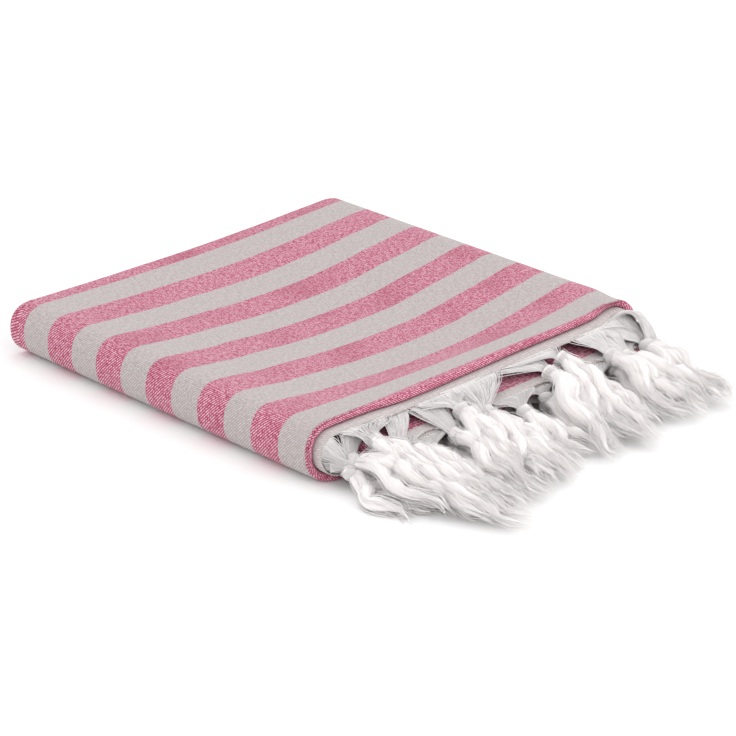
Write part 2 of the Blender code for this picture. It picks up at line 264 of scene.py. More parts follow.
# Locks. A pair is the least and the most of a random value, but a lump's height, as a share of
# the size, and length
LOCK_STEPS = 18
LOCK_SPACING = 0.0064
LOCK_REACH = (0.84, 1.09)
LOCK_WAVE = (0.0018, 0.0048)
LOCK_PERIOD = (0.034, 0.068)
LOCK_DRIFT = 0.009
LOCK_GIRTH = (0.80, 1.15)
LOCK_RISE = 0.0014
LOCK_RISE_LENGTH = 0.010
LOCK_FLOOR_GAP = 0.0004
LOCK_SPREAD_OVER = 0.030
LOCK_LUMPS = ((0.13, 0.024), (0.09, 0.013))
# Yarns of a bundle, its core, and the scale of their fibres
GOLDEN_ANGLE = 2.39996
CORE_SIDES = 12
CORE_FADE_FROM = 0.55
CORE_FADE_TO = 0.98
YARN_FIBRES = 0.0006
CORE_FIBRES = 0.0024
FIBRE_STREAK = 0.06
# Painted shade: the fans and knots get darker copies of the white yarn, toned down where the lamps
# light them brightly, and the web under the fans, which lies in their shade, the darkest
YARN_PAINTED_SHADE = {"white": 1.0, "fan": 0.86, "knot": 0.77, "web": 0.74}
YARN_SHADE = 0.975

NODE_OF_LAYER = {4: "fringe_first_end", 5: "fringe_second_end"}
PIECE_ENDS = ("_knots", "_strands", "_wisps")

# Studio. Lights: name, place, power
FLOOR_HALF = 12.0
FLOOR_CORNERS = ((-1, -1), (1, -1), (1, 1), (-1, 1))
WORLD_STRENGTH = 1.14
LIGHTS = (("key", (-0.7, 1.0, 1.9), 2.0), ("fill", (0.15, -1.80, 1.10), 11.0))
LIGHT_SIZE = 1.8
LIGHT_AIM = (0.0, -0.04, 0.0)
SENSOR_WIDTH = 36.0

SOCKET_TYPES = {int: "NodeSocketInt", float: "NodeSocketFloat"}


# Settings


class TowelClothSettings(bpy.types.PropertyGroup):
    thickness: FloatProperty(
        name="Thickness", description="Thickness of the weave", default=0.001, unit="LENGTH"
    )
    stripe: FloatProperty(
        name="Stripe", description="Width of a stripe", default=0.025, unit="LENGTH"
    )
    thread_pitch: FloatProperty(
        name="Thread pitch",
        description="Spacing of the threads of the twill",
        default=0.00053,
        precision=5,
        unit="LENGTH",
    )
    pink: FloatVectorProperty(
        name="Pink", description="Dyed yarn", default=(0.35, 0.017, 0.078), subtype="COLOR"
    )
    fleck: FloatVectorProperty(
        name="Fleck",
        description="White yarn that shows through the pink",
        default=(0.83, 0.58, 0.665),
        subtype="COLOR",
    )
    grey: FloatVectorProperty(
        name="Grey", description="Undyed stripe", default=(0.370, 0.326, 0.320), subtype="COLOR"
    )
    grey_light: FloatVectorProperty(
        name="Light grey",
        description="Light yarn that shows through the grey",
        default=(0.585, 0.530, 0.525),
        subtype="COLOR",
    )
    # Painted light: a light colour mixed into the grey bands at both ends, to lift the shade under
    # the top's folds and the fringe
    end_painted_light: FloatVectorProperty(
        name="Painted end light",
        description="Undyed weave, mixed into the bands at both ends",
        default=(0.84, 0.79, 0.775),
        subtype="COLOR",
    )


class TowelFringeSettings(bpy.types.PropertyGroup):
    yarn: FloatProperty(
        name="Yarn", description="Radius of a yarn", default=0.00024, precision=5, unit="LENGTH"
    )
    hair: FloatProperty(
        name="Hair",
        description="Radius of a loose fibre",
        default=0.00014,
        precision=5,
        unit="LENGTH",
    )
    hairs: IntProperty(name="Hairs", description="Loose fibres of a lock", default=42)
    fan_yarns: IntProperty(name="Fan yarns", description="Yarns in a fan", default=120)
    lock_yarns: IntProperty(name="Lock yarns", description="Yarns in a lock", default=26)
    lock_radius: FloatProperty(
        name="Lock radius", description="Radius of a lock", default=0.0041, unit="LENGTH"
    )
    wrap_radius: FloatProperty(
        name="Wrap radius", description="Radius of the knot's wrap", default=0.0034, unit="LENGTH"
    )
    twist: FloatProperty(
        name="Twist", description="Turns of a lock in radians for each metre", default=45.0
    )
    white: FloatVectorProperty(
        name="White", description="Yarn", default=(0.915, 0.886, 0.881), subtype="COLOR"
    )


class TowelStageSettings(bpy.types.PropertyGroup):
    lens: FloatProperty(name="Lens", description="Focal length in millimetres", default=144.8)
    pitch: FloatProperty(
        name="Pitch", description="Downward tilt", default=math.radians(23.23), unit="ROTATION"
    )
    yaw: FloatProperty(
        name="Yaw", description="Heading", default=math.radians(45.64), unit="ROTATION"
    )
    place: FloatVectorProperty(
        name="Place",
        description="Where the camera stands",
        default=(-1.2647, -1.3311, 0.7798),
        subtype="TRANSLATION",
    )
    floor: FloatVectorProperty(
        name="Floor", description="Floor", default=(0.93, 0.93, 0.93), subtype="COLOR"
    )


# Small helpers


def lerp(a, b, t):
    return a + (b - a) * t


def smooth(t):
    t = min(1.0, max(0.0, t))
    return t * t * (3 - 2 * t)


def eased(at, start, end):
    """0 up to the start and 1 from the end on, with a smooth change between them."""
    return smooth((at - start) / (end - start))


def read(rows, column, at):
    """The value in a table's column, read between its rows."""
    if at <= rows[0][0]:
        return rows[0][column]
    for a, b in zip(rows, rows[1:]):
        if at <= b[0]:
            return lerp(a[column], b[column], (at - a[0]) / (b[0] - a[0]))
    return rows[-1][column]


def steps(start, end, step):
    """Values from start to end, both kept, about a step apart."""
    count = max(1, round(abs(end - start) / step))
    return [lerp(start, end, i / count) for i in range(count + 1)]


def new_object(name, data):
    obj = bpy.data.objects.new(name, data)
    bpy.context.scene.collection.objects.link(obj)
    return obj


def thicken(obj, thickness):
    """Gives a sheet its thickness, half of it on each side."""
    modifier = obj.modifiers.new("Thickness", "SOLIDIFY")
    modifier.thickness = thickness
    modifier.offset = 0.0


def plain_mesh(obj):
    """An object with its modifiers as a plain mesh. The object is removed."""
    graph = bpy.context.evaluated_depsgraph_get()
    mesh = bpy.data.meshes.new_from_object(obj.evaluated_get(graph), depsgraph=graph)
    bpy.data.objects.remove(obj)
    return mesh


def grid_mesh(name, points, rows):
    """A smooth mesh over columns of points that all have as many rows."""
    starts = [a for a in range(len(points) - rows) if a % rows < rows - 1]
    faces = [(a, a + 1, a + rows + 1, a + rows) for a in starts]
    mesh = bpy.data.meshes.new(name)
    mesh.from_pydata([tuple(p) for p in points], [], faces)
    mesh.polygons.foreach_set("use_smooth", [True] * len(faces))
    return mesh


def aim(obj, place, direction):
    """Puts a light or a camera in its place and turns it."""
    obj.location = place
    obj.rotation_euler = direction.to_track_quat("-Z", "Y").to_euler()


class Wiring:
    """Adds nodes to a tree in few words."""

    def __init__(self, tree):
        self.tree = tree

    def fill(self, node, values):
        """Links or sets a node's inputs by name or place."""
        for key, value in dict(values).items():
            if isinstance(value, bpy.types.NodeSocket):
                self.tree.links.new(value, node.inputs[key])
            else:
                node.inputs[key].default_value = value

    def node(self, kind, values=(), **settings):
        """A node with its settings and inputs."""
        made = self.tree.nodes.new(kind)
        for key, value in settings.items():
            setattr(made, key, value)
        self.fill(made, values)
        return made

    def maths(self, operation, a, b=0.0, clamp=False):
        made = self.node("ShaderNodeMath", {0: a, 1: b}, operation=operation, use_clamp=clamp)
        return made.outputs[0]

    def linear(self, value, factor, base):
        """The value times the factor, plus the base."""
        return self.maths("ADD", self.maths("MULTIPLY", value, factor), base)

    def vector(self, operation, a, b):
        return self.node("ShaderNodeVectorMath", {0: a, 1: b}, operation=operation).outputs[0]

    def scaled(self, a, factor):
        values = {0: a, "Scale": factor}
        return self.node("ShaderNodeVectorMath", values, operation="SCALE").outputs[0]

    def noise(self, place, scale, detail):
        values = {"Vector": place, "Scale": scale, "Detail": detail}
        return self.node("ShaderNodeTexNoise", values).outputs["Fac"]

    def mix(self, factor, a, b):
        """A mix of two colours, each of them a socket or three values."""
        a, b = (c if isinstance(c, bpy.types.NodeSocket) else (*c, 1.0) for c in (a, b))
        return self.node("ShaderNodeMix", {0: factor, 6: a, 7: b}, data_type="RGBA").outputs[2]

    def ramp(self, value, low, high):
        """0 below the low value and 1 above the high one, with a smooth change between."""
        values = {"Value": value, "From Min": low, "From Max": high}
        made = self.node("ShaderNodeMapRange", values, interpolation_type="SMOOTHSTEP")
        return made.outputs["Result"]


def new_tree(name, kind, inputs, outputs):
    """The wiring of a new tree, its given sockets and its output node. Each socket comes with
    its value, from which its type follows, or with its type."""
    tree = bpy.data.node_groups.new(name, kind)
    for side, sockets in (("INPUT", inputs), ("OUTPUT", outputs)):
        for label, value in sockets.items():
            typed = SOCKET_TYPES.get(type(value), value)
            socket = tree.interface.new_socket(label, in_out=side, socket_type=typed)
            if typed != value:
                socket.default_value = value
    w = Wiring(tree)
    return w, w.node("NodeGroupInput").outputs, w.node("NodeGroupOutput")


# The folded sheet


def crease_height(x, y):
    """The soft ridges and troughs of the top."""
    total = 0.0
    for cx, cy, degrees, half_length, half_width, height in CREASES:
        angle = math.radians(degrees)
        along = (x - cx) * math.cos(angle) + (y - cy) * math.sin(angle)
        across = -(x - cx) * math.sin(angle) + (y - cy) * math.cos(angle)
        across += CREASE_WANDER * math.sin(along / CREASE_WANDER_LENGTH)
        total += height * math.exp(-((along / half_length) ** 2) - (across / half_width) ** 2)
    return total


def top_height(x, y):
    """Height of the pack's top above the floor."""
    reach = SAG_REACH_LEFT if x < SAG_X else SAG_REACH_RIGHT
    across = math.cos(min(1.0, abs(x - SAG_X) / reach) * math.pi / 2)
    if y > SAG_Y:
        along = math.cos(min(1.0, (y - SAG_Y) / SAG_REACH_BACK) * math.pi / 2)
    else:
        along = 1 - eased(y, SAG_FLAT_FRONT, SAG_END_FRONT)
    rim = lerp(HEIGHT_LEFT, HEIGHT_RIGHT, (x - LEFT_AXIS_X) / (RIGHT_AXIS_X - LEFT_AXIS_X))
    lip = LIP * math.exp(-(((y - LIP_Y) / LIP_WIDTH) ** 2))
    height = rim + lip - SAG * across * along - FALL_SLOPE * max(0.0, FALL_Y - y)
    return height + crease_height(x, y)


def fold_share(y):
    """1 on the folds over the fringe, falling to 0 on the cloth's loose ends."""
    return smooth((y - FOLD_DRAW_FROM_Y) / FOLD_DRAW_OVER) if y < 0 else 0.0


def top_slip(x, y):
    """How far the top's folds and ends are drawn back near its corners on the fringe side."""
    left = eased(x, LEFT_DRAW_X, LEFT_AXIS_X)
    right = eased(x, RIGHT_DRAW_X, RIGHT_AXIS_X)
    folds = read(FOLD_DRAW, 1, x) * fold_share(y)
    return LEFT_DRAW * left + RIGHT_DRAW * right + folds if y < 0 else 0.0


def slip(panel, along, y):
    """How far a panel's folds and ends are shifted along Y."""
    if panel == "lower":
        return LOWER_SLIP
    if panel == "left":
        end = top_slip(LEFT_AXIS_X, y) if along > 0 else LOWER_SLIP
        middle = LEFT_SLIP + LEFT_FOLD_DRAW * fold_share(y)
        return lerp(end, middle, math.cos(math.radians(along)))
    if panel == "right":
        return lerp(top_slip(RIGHT_AXIS_X, y), TUCKED_SLIP, (90 - along) / 180)
    return TUCKED_SLIP if panel == "tucked" else top_slip(along, y)


def squared(value, power):
    """A sine or cosine with its curve made squarer."""
    return math.copysign(abs(value) ** power, value)


def cloth_point(panel, along, y, layer, thickness):
    """A point of the cloth's middle surface. along is x, or an angle in the side folds."""
    near = {"top": along, "right": RIGHT_AXIS_X}.get(panel, 0.0)
    upper = {"top": 1.0, "left": smooth(along / 90), "right": smooth((along + 90) / 180)}
    upper = upper.get(panel, 0.0)
    press = lerp(PRESS, PRESS_CORNER, eased(near, RIGHT_DRAW_X, RIGHT_AXIS_X))
    press *= eased(y, PRESS_FROM_Y, PRESS_TO_Y)
    press *= {"right": upper, "tucked": 0.0}.get(panel, 1.0)
    layer *= 1 - press
    if panel in SIDE_FOLDS:
        axis_x, side, radius, centre, square = SIDE_FOLDS[panel]
        out, turn = radius - layer, math.radians(along)
        x = axis_x + side * out * LAYER_PITCH * squared(math.cos(turn), square)
        level = centre + out * squared(math.sin(turn), square)
    else:
        x = along
        level = {"lower": layer, "top": LEVELS - layer, "tucked": LAYERS + layer}[panel]
    spread = top_height(x, y) - thickness
    z = thickness / 2 + spread * level / LEVELS
    loose = upper * smooth((FALL_Y - y) / END_WAVE_OVER)
    z += loose * END_WAVE * (math.sin(x / END_WAVE_SHORT + 0.8) + 0.6 * math.sin(x / END_WAVE_LONG))
    pull = eased(x, CORNER_FROM_X, CORNER_TO_X) * eased(y, CORNER_FROM_Y, CORNER_TO_Y)
    return Vector((x - CORNER_PULL * pull, y, z))


def width_stations():
    """Stations across the cloth, from the lower free edge to the tucked one."""
    stations = [("lower", x) for x in steps(LOWER_FREE_X, LEFT_AXIS_X, COARSE_STEP)]
    stations += [("left", a) for a in steps(-90, 90, 180 / LEFT_FOLD_STEPS)[1:-1]]
    stations += [("top", x) for x in steps(LEFT_AXIS_X, RIGHT_AXIS_X, FINE_STEP)]
    stations += [("right", a) for a in steps(90, -90, 180 / RIGHT_FOLD_STEPS)[1:-1]]
    stations += [("tucked", x) for x in steps(RIGHT_AXIS_X, TUCKED_FREE_X, COARSE_STEP)]
    return stations


def fold_rows(layer, next_layer, side):
    """The stations of a half-round fold between two runs, without its two ends."""
    half = abs(next_layer - layer) / 2
    count = STEPS_PER_LAYER_FOLDED[abs(next_layer - layer)]
    centre_y = FRONT_FOLD_Y
    if side == "back":
        centre_y = BACK_TOP_Y if layer in (0, 1) else BACK_FOLD_Y
    sign = 1 if side == "back" else -FRONT_BULGE
    rows = []
    for i in range(1, count):
        turn = math.pi * i / count
        y = centre_y + sign * half * LAYER_PITCH * math.sin(turn)
        level = (layer + next_layer) / 2 + (layer - next_layer) / 2 * math.cos(turn)
        rows.append((y, level, 1))
    return rows


def length_stations():
    """Stations along the cloth: y, layer, and 1 where the station slips with its panel."""
    rows = []
    for i, (layer, sense) in enumerate(RUNS):
        back_y = BACK_TOP_Y if layer in (0, 1) else BACK_FOLD_Y
        step = FINE_STEP if layer == 0 else COARSE_STEP
        run = [(y, layer, 0) for y in steps(FRONT_FOLD_Y, back_y, step)]
        run[0] = (run[0][0], layer, 1)
        run[-1] = (run[-1][0], layer, 1)
        if layer in END_Y:
            end = [(y, layer, 1) for y in steps(END_Y[layer], FRONT_FOLD_Y, END_STEP)]
            run = end[:-1] + run
        rows += run if sense == "back" else run[::-1]
        if i + 1 < len(RUNS):
            rows += fold_rows(layer, RUNS[i + 1][0], sense)
    return rows


def stripe_places(rows, stripe):
    """The place of each station along the cloth, counted in stripes from the top's first
    boundary. Whole odd numbers start a pink stripe. The hidden layers stretch a little, so
    that both ends finish in a grey band."""
    lengths = [0.0]
    for (y0, layer0, _), (y1, layer1, _) in zip(rows, rows[1:]):
        lengths.append(lengths[-1] + math.hypot(y1 - y0, (layer1 - layer0) * LAYER_PITCH))
    marks = [(0.0, FIRST_END_STRIPE)]
    for length, (y, layer, _) in zip(lengths, rows):
        if layer == 0:
            marks.append((length, (FIRST_BOUNDARY_Y - y) / stripe))
    marks.append((lengths[-1], SECOND_END_STRIPE))
    return lengths, [read(marks, 1, length) for length in lengths]


def cloth_mesh(settings):
    """The middle surface of the folded towel, with its weave's UV map and its stripes."""
    columns, rows = width_stations(), length_stations()
    lengths, places = stripe_places(rows, settings.stripe)
    count, middle = len(rows), len(rows) // 2
    points, across = [], [0.0]
    for i, (panel, along) in enumerate(columns):
        line = [
            cloth_point(panel, along, y + slip(panel, along, y) * slips, layer, settings.thickness)
            for y, layer, slips in rows
        ]
        if i:
            across.append(across[-1] + (line[middle] - points[middle - count]).length)
        points += line
    mesh = grid_mesh("towel_weave", points, count)
    uv = mesh.uv_layers.new(name="weave")
    for loop in mesh.loops:
        i, j = divmod(loop.vertex_index, count)
        uv.data[loop.index].uv = (across[i], lengths[j])
    stripes = mesh.attributes.new("stripe_place", "FLOAT", "POINT")
    stripes.data.foreach_set("value", places * len(columns))
    mesh.update()
    return mesh


# Tassels


def even_row(panel, layer, first, count, height, distance):
    """A regular row of tassels, whose knots stray a little."""
    rows = []
    for i in range(count):
        root = first - ROOT_SPACING * i
        knot = root + EVEN_KNOT_STRAY * math.sin(2.3 * i + layer)
        reach = EVEN_REACH - EVEN_REACH_SLOPE[panel] * root
        away = distance + EVEN_AWAY_STRAY * math.sin(1.7 * i + 2 * layer)
        tip = knot - EVEN_TIP_SHIFT + EVEN_TIP_STRAY * math.sin(3.1 * i)
        rows.append((layer, root + ROOT_HALF, root - ROOT_HALF, knot, away, height, tip, reach, 3))
    return rows


def tassels_of(layer):
    """The tassels on one end of the cloth, as rows with their panel in front."""
    found = [("top", *row[1:]) for row in TOP_TASSELS if row[0] == layer]
    found += [("left", *row[1:]) for row in LEFT_TASSELS if row[0] == layer]
    for panel, row_layer, first, count, height, distance in EVEN_ROWS:
        if row_layer == layer:
            for row in even_row(panel, layer, first, count, height, distance):
                found.append((panel, *row[1:]))
    return found


def end_point(layer, panel, along, beyond, thickness):
    """A point a little beyond the cloth's end, along its own surface."""
    y = END_Y[layer] + slip(panel, along, END_Y[layer]) - beyond
    return cloth_point(panel, along, y, layer, thickness)


class Tassel:
    """Where one tassel's root, knot and tips lie."""

    def __init__(self, row, layer, thickness):
        self.panel, self.start, self.end, knot, away, height, tip, reach, self.locks = row
        self.layer, self.thickness = layer, thickness
        self.root = end_point(layer, self.panel, (self.start + self.end) / 2, 0.0, thickness)
        self.knot = Vector((knot, self.root.y - away, height))
        self.tip_x, self.away, self.reach = tip, away, reach
        heading = self.at(away + HEADING_REACH, 0.0) - self.knot
        back = self.knot - self.root
        self.axis = (heading.normalized() * 1.5 + back.normalized()).normalized()
        self.across = self.axis.cross(Vector((0, 0, 1))).normalized()
        self.up = self.across.cross(self.axis)

    def at(self, distance, lift):
        """The middle of the strands at a distance from the cloth's end."""
        t = (distance - self.away) / (self.reach - self.away)
        x = lerp(self.knot.x, self.tip_x, smooth(t * 0.9 + 0.05) if t > 0 else 0.0)
        rest = read(REST, REST_COLUMN[self.panel], distance)
        rest = min(rest, self.knot.z) + lift
        z = lerp(self.knot.z, rest, smooth((distance - self.away) / KNOT_FALL_OVER))
        return Vector((x, self.root.y - distance, z))


def bezier(a, b, c, d, t):
    s = 1 - t
    return a * s**3 + b * 3 * s * s * t + c * 3 * s * t * t + d * t**3


def add_spline(curve, points, radii):
    spline = curve.splines.new("POLY")
    spline.points.add(len(points) - 1)
    for place, point, radius in zip(spline.points, points, radii):
        place.co = (*point, 1.0)
        place.radius = radius


def fan_path(tassel, t, rise):
    """The path of one thread of a fan, from inside the cloth's end to inside the knot."""
    along = lerp(tassel.start, tassel.end, t)
    if tassel.panel != "left":
        along = min(max(along, LEFT_AXIS_X), RIGHT_AXIS_X - FAN_INSET)
    ends = (-FAN_ROOT_DEPTH, min(FAN_LEVEL, 0.45 * tassel.away))
    a, b = (end_point(tassel.layer, tassel.panel, along, end, tassel.thickness) for end in ends)
    side = (t - 0.5) * 2 * (1 if tassel.end > tassel.start else -1)
    side = min(1.1, max(-1.1, side))
    entry = tassel.knot - tassel.axis * KNOT_HALF * 0.8 + tassel.across * -side * FAN_ENTRY_HALF
    inward = (b - entry).normalized()
    bend = entry - tassel.axis * FAN_BEND + inward * FAN_BEND + Vector((0, 0, FAN_ARCH))
    middle = tassel.knot + tassel.across * -side * FAN_MIDDLE_HALF
    path = [bezier(a, b, bend, entry, k / (FAN_STEPS - 1)) for k in range(FAN_STEPS)] + [middle]
    for k, place in enumerate(path):
        place.z += rise * math.sin(math.pi * min(1.0, k / FAN_STEPS))
    return path


def fan_guides(curve, tassel, count, rng):
    """The threads that run from the cloth's end to the knot."""
    for i in range(count):
        t = (i + rng.uniform(-1.0, 2.0)) / count
        if rng.random() < FAN_STRAY_SHARE:
            t += rng.uniform(-FAN_STRAY, FAN_STRAY)
        path = fan_path(tassel, t, rng.uniform(*FAN_RISE))
        path[0].z += rng.uniform(*FAN_ROOT_STRAY)
        sway = tassel.across * rng.uniform(-FAN_SWAY, FAN_SWAY)
        for k, place in enumerate(path):
            place += sway * math.sin(math.pi * min(1.0, k / FAN_STEPS))
        add_spline(curve, path, [0.0] * len(path))


def fan_web(tassel, rng):
    """The close-lying threads under them, as one thin web in soft folds."""
    points, fibres = [], []
    phase, folds = rng.uniform(0, 6.28), rng.uniform(3.0, 5.0)
    for i in range(WEB_COLUMNS):
        t = lerp(0.05, 0.95, i / (WEB_COLUMNS - 1))
        path = fan_path(tassel, t, WEB_WAVE * math.sin(phase + t * folds * 2 * math.pi))
        points += path
        for k in range(len(path)):
            fibres += (t * WEB_FIBRES_ACROSS, 0.0, k * WEB_FIBRES_ALONG)
    mesh = grid_mesh("web", points, FAN_STEPS + 1)
    mesh.attributes.new("fibre", "FLOAT_VECTOR", "POINT").data.foreach_set("vector", fibres)
    return mesh


def wrap_guides(curve, tassel, radius, rng):
    """The turn of the bundle round itself that makes the knot."""
    turns = rng.uniform(*WRAP_TURNS)
    phase = rng.uniform(0, 2 * math.pi)
    tilt = rng.choice((-1, 1)) * rng.uniform(*WRAP_TILT)
    girth = rng.uniform(*WRAP_GIRTH)
    lump = rng.uniform(*WRAP_LUMP)
    points, radii = [], []
    for i in range(WRAP_STEPS + 1):
        t = i / WRAP_STEPS
        angle = phase + 2 * math.pi * turns * t
        size = girth * (0.55 + 0.45 * math.sin(math.pi * t) ** 0.5) + lump * math.sin(angle * 2)
        forward = lerp(-WRAP_HALF, WRAP_HALF, t) + tilt * math.cos(angle)
        offset = tassel.across * math.cos(angle) * size * WRAP_WIDE
        offset += tassel.up * math.sin(angle) * size * WRAP_TALL
        points.append(tassel.knot + tassel.axis * forward + offset)
        radii.append(radius * (0.72 + 0.38 * math.sin(math.pi * t)))
    lowest = min(p.z - r for p, r in zip(points, radii))
    lift = Vector((0, 0, max(0.0, FLOOR_GAP - lowest)))
    add_spline(curve, [p + lift for p in points], radii)


def lock_guides(curve, tassel, radius, rng):
    """The locks below the knot, which also fill it."""
    begin = tassel.away - KNOT_HALF * 0.8
    for number in range(tassel.locks):
        k = number - (tassel.locks - 1) / 2
        reach = tassel.reach * rng.uniform(*LOCK_REACH)
        wave = rng.uniform(*LOCK_WAVE)
        phase, second, third = (rng.uniform(0, 2 * math.pi) for _ in range(3))
        period = rng.uniform(*LOCK_PERIOD)
        drift = rng.uniform(-LOCK_DRIFT, LOCK_DRIFT)
        thick = radius * rng.uniform(*LOCK_GIRTH)
        rise = rng.uniform(0.0, LOCK_RISE)
        points, radii = [], []
        for i in range(LOCK_STEPS + 1):
            t = i / LOCK_STEPS
            distance = lerp(begin, reach, t)
            spread = smooth((distance - tassel.away) / LOCK_SPREAD_OVER)
            size = thick * (0.84 + 0.24 * math.sin(math.pi * min(1.0, t * 1.25)) - 0.10 * t**3)
            for start, (lump, length) in zip((second, third), LOCK_LUMPS):
                size *= 1 + lump * math.sin(start + distance * 2 * math.pi / length)
            point = tassel.at(max(distance, tassel.away), size * 0.95)
            if distance < tassel.away:
                point = tassel.knot + tassel.axis * (distance - tassel.away)
            point.x += k * LOCK_SPACING * (0.16 + 0.84 * spread)
            point.x += spread * wave * math.sin(phase + distance * 2 * math.pi / period)
            point.x += spread * drift * t
            point.z += spread * rise * (1 + math.sin(third + distance / LOCK_RISE_LENGTH))
            point.z = max(point.z, size + LOCK_FLOOR_GAP)
            points.append(point)
            radii.append(size)
        add_spline(curve, points, radii)


def stray(most, rng):
    """A random shift, up to as much along each axis."""
    return Vector([rng.uniform(-most, most) for _ in range(3)])


def loose_guides(curve, row, rng):
    """Loose threads that leave the cloth's end and hang over, most of them side by side."""
    start, start_to, over, end, end_to, count = row
    for i in range(count):
        t = (i + rng.uniform(0, 1)) / count
        a = Vector(start).lerp(Vector(start_to), t)
        d = Vector(end).lerp(Vector(end_to), min(1.0, max(0.0, t + rng.uniform(-0.25, 0.25))))
        b = a.lerp(Vector(over), 0.62) + stray(LOOSE_STRAY_NEAR, rng)
        c = Vector(over).lerp(d, 0.5) + stray(LOOSE_STRAY_FAR, rng)
        path = [bezier(a, b, c, d, k / LOOSE_STEPS) for k in range(LOOSE_STEPS + 1)]
        add_spline(curve, path, [0.0] * len(path))


def bundle_tree(name):
    """Geometry nodes that lay yarns along guide curves: twisted, wavy and ragged at the tips."""
    w, given, out = new_tree(
        name,
        "GeometryNodeTree",
        {
            "Geometry": "NodeSocketGeometry", "Yarns": 12, "Yarn Radius": 0.0004, "Sides": 3,
            "Spread": 1.0, "Twist": 0.0, "Waviness": 0.0, "Wave Scale": 60.0, "Ragged": 0.0,
            "Taper": 0.0, "Flare": 0.0, "Core": 0.0, "Core Fade": 0.0, "Seed": 0,
            "Material": "NodeSocketMaterial",
        },
        {"Geometry": "NodeSocketGeometry"},
    )
    node, maths, vector, scaled = w.node, w.maths, w.vector, w.scaled
    values = {"Geometry": given["Geometry"], "Amount": given["Yarns"]}
    copies = node("GeometryNodeDuplicateElements", values, domain="SPLINE").outputs
    which = copies["Duplicate Index"]
    parameter = node("GeometryNodeSplineParameter")
    factor, length = parameter.outputs["Factor"], parameter.outputs["Length"]
    tangent, normal, radius, position, index = (
        node("GeometryNodeInput" + kind).outputs[0]
        for kind in ("Tangent", "Normal", "Radius", "Position", "Index")
    )
    binormal = vector("CROSS_PRODUCT", tangent, normal)
    curve_id = node("GeometryNodeFieldOnDomain", {0: index}, domain="CURVE", data_type="INT")

    def chance(low, high, salt):
        """A random value for each curve."""
        seed = maths("ADD", given["Seed"], float(salt))
        values = {"ID": curve_id.outputs[0], "Seed": seed, 2: low, 3: high}
        return node("FunctionNodeRandomValue", values, data_type="FLOAT").outputs[1]

    # Where each yarn lies in its bundle
    share = maths("DIVIDE", maths("ADD", which, 0.5), given["Yarns"])
    room = maths("SUBTRACT", radius, given["Yarn Radius"])
    inner = maths("MAXIMUM", maths("MULTIPLY", room, maths("SQRT", share)), 0.0)
    flare = maths("MULTIPLY", maths("POWER", factor, 2.5), given["Flare"])
    inner = maths("MULTIPLY", maths("MULTIPLY", inner, given["Spread"]), maths("ADD", 1.0, flare))
    angle = w.linear(which, GOLDEN_ANGLE, chance(-0.5, 0.5, 1))
    angle = w.linear(length, given["Twist"], angle)
    flat = scaled(normal, maths("MULTIPLY", maths("COSINE", angle), inner))
    tall = scaled(binormal, maths("MULTIPLY", maths("SINE", angle), inner))
    # Waves, which grow towards the tip
    shift = node("ShaderNodeCombineXYZ", {i: chance(0, 50, i + 2) for i in range(3)})
    place = vector("ADD", scaled(position, given["Wave Scale"]), shift.outputs[0])
    noise = node("ShaderNodeTexNoise", {"Vector": place, "Scale": 1.0, "Detail": 1.0})
    centred = vector("SUBTRACT", noise.outputs["Color"], (0.5, 0.5, 0.5))
    growth = w.linear(factor, 0.8, 0.2)
    wave = scaled(centred, maths("MULTIPLY", growth, given["Waviness"]))
    offset = vector("ADD", vector("ADD", flat, tall), wave)
    moved = node("GeometryNodeSetPosition", {"Geometry": copies["Geometry"], "Offset": offset})
    # Nothing goes below the floor
    split = node("ShaderNodeSeparateXYZ", {0: position}).outputs
    low = maths("MAXIMUM", split[2], given["Yarn Radius"])
    held = node("ShaderNodeCombineXYZ", {0: split[0], 1: split[1], 2: low}).outputs[0]
    lifted = node("GeometryNodeSetPosition", {"Geometry": moved.outputs[0], "Position": held})
    cut = maths("SUBTRACT", 1.0, maths("MULTIPLY", chance(0, 1, 5), given["Ragged"]))
    trimmed = node("GeometryNodeTrimCurve", {"Curve": lifted.outputs[0], "End": cut}, mode="FACTOR")

    def sized_curve(curve, size):
        return node("GeometryNodeSetCurveRadius", {"Curve": curve, "Radius": size}).outputs[0]

    def ring_of(sides):
        values = {"Resolution": sides, "Radius": 1.0}
        return node("GeometryNodeCurvePrimitiveCircle", values).outputs[0]

    def stored(geometry, label, kind, value):
        """Geometry that keeps a value of each point under a name."""
        values = {"Geometry": geometry, "Name": label, "Value": value}
        kept = node("GeometryNodeStoreNamedAttribute", values, data_type=kind, domain="POINT")
        return kept.outputs[0]

    def recalled(label, kind):
        return node("GeometryNodeInputNamedAttribute", {"Name": label}, data_type=kind).outputs[0]

    def swept(curve, profile, girth):
        """A tube with an attribute that follows its fibres round and along it."""
        marked = stored(curve, "along", "FLOAT", length)
        circle = stored(profile, "ring", "FLOAT_VECTOR", position)
        values = {"Curve": marked, "Profile Curve": circle, "Scale": radius, "Fill Caps": True}
        tube = node("GeometryNodeCurveToMesh", values)
        along = recalled("along", "FLOAT")
        turn = maths("MULTIPLY", along, given["Twist"])
        values = {"Vector": recalled("ring", "FLOAT_VECTOR"), "Angle": turn}
        turned = node("ShaderNodeVectorRotate", values, rotation_type="Z_AXIS")
        streak = node("ShaderNodeCombineXYZ", {2: maths("MULTIPLY", along, FIBRE_STREAK)})
        fibre = vector("ADD", scaled(turned.outputs[0], girth), streak.outputs[0])
        return stored(tube.outputs[0], "fibre", "FLOAT_VECTOR", fibre)

    slim = maths("MULTIPLY", maths("POWER", factor, 3.0), given["Taper"])
    size = maths("MULTIPLY", maths("SUBTRACT", 1.0, slim), given["Yarn Radius"])
    yarn_curve = sized_curve(trimmed.outputs[0], size)
    yarns = swept(yarn_curve, ring_of(given["Sides"]), YARN_FIBRES)
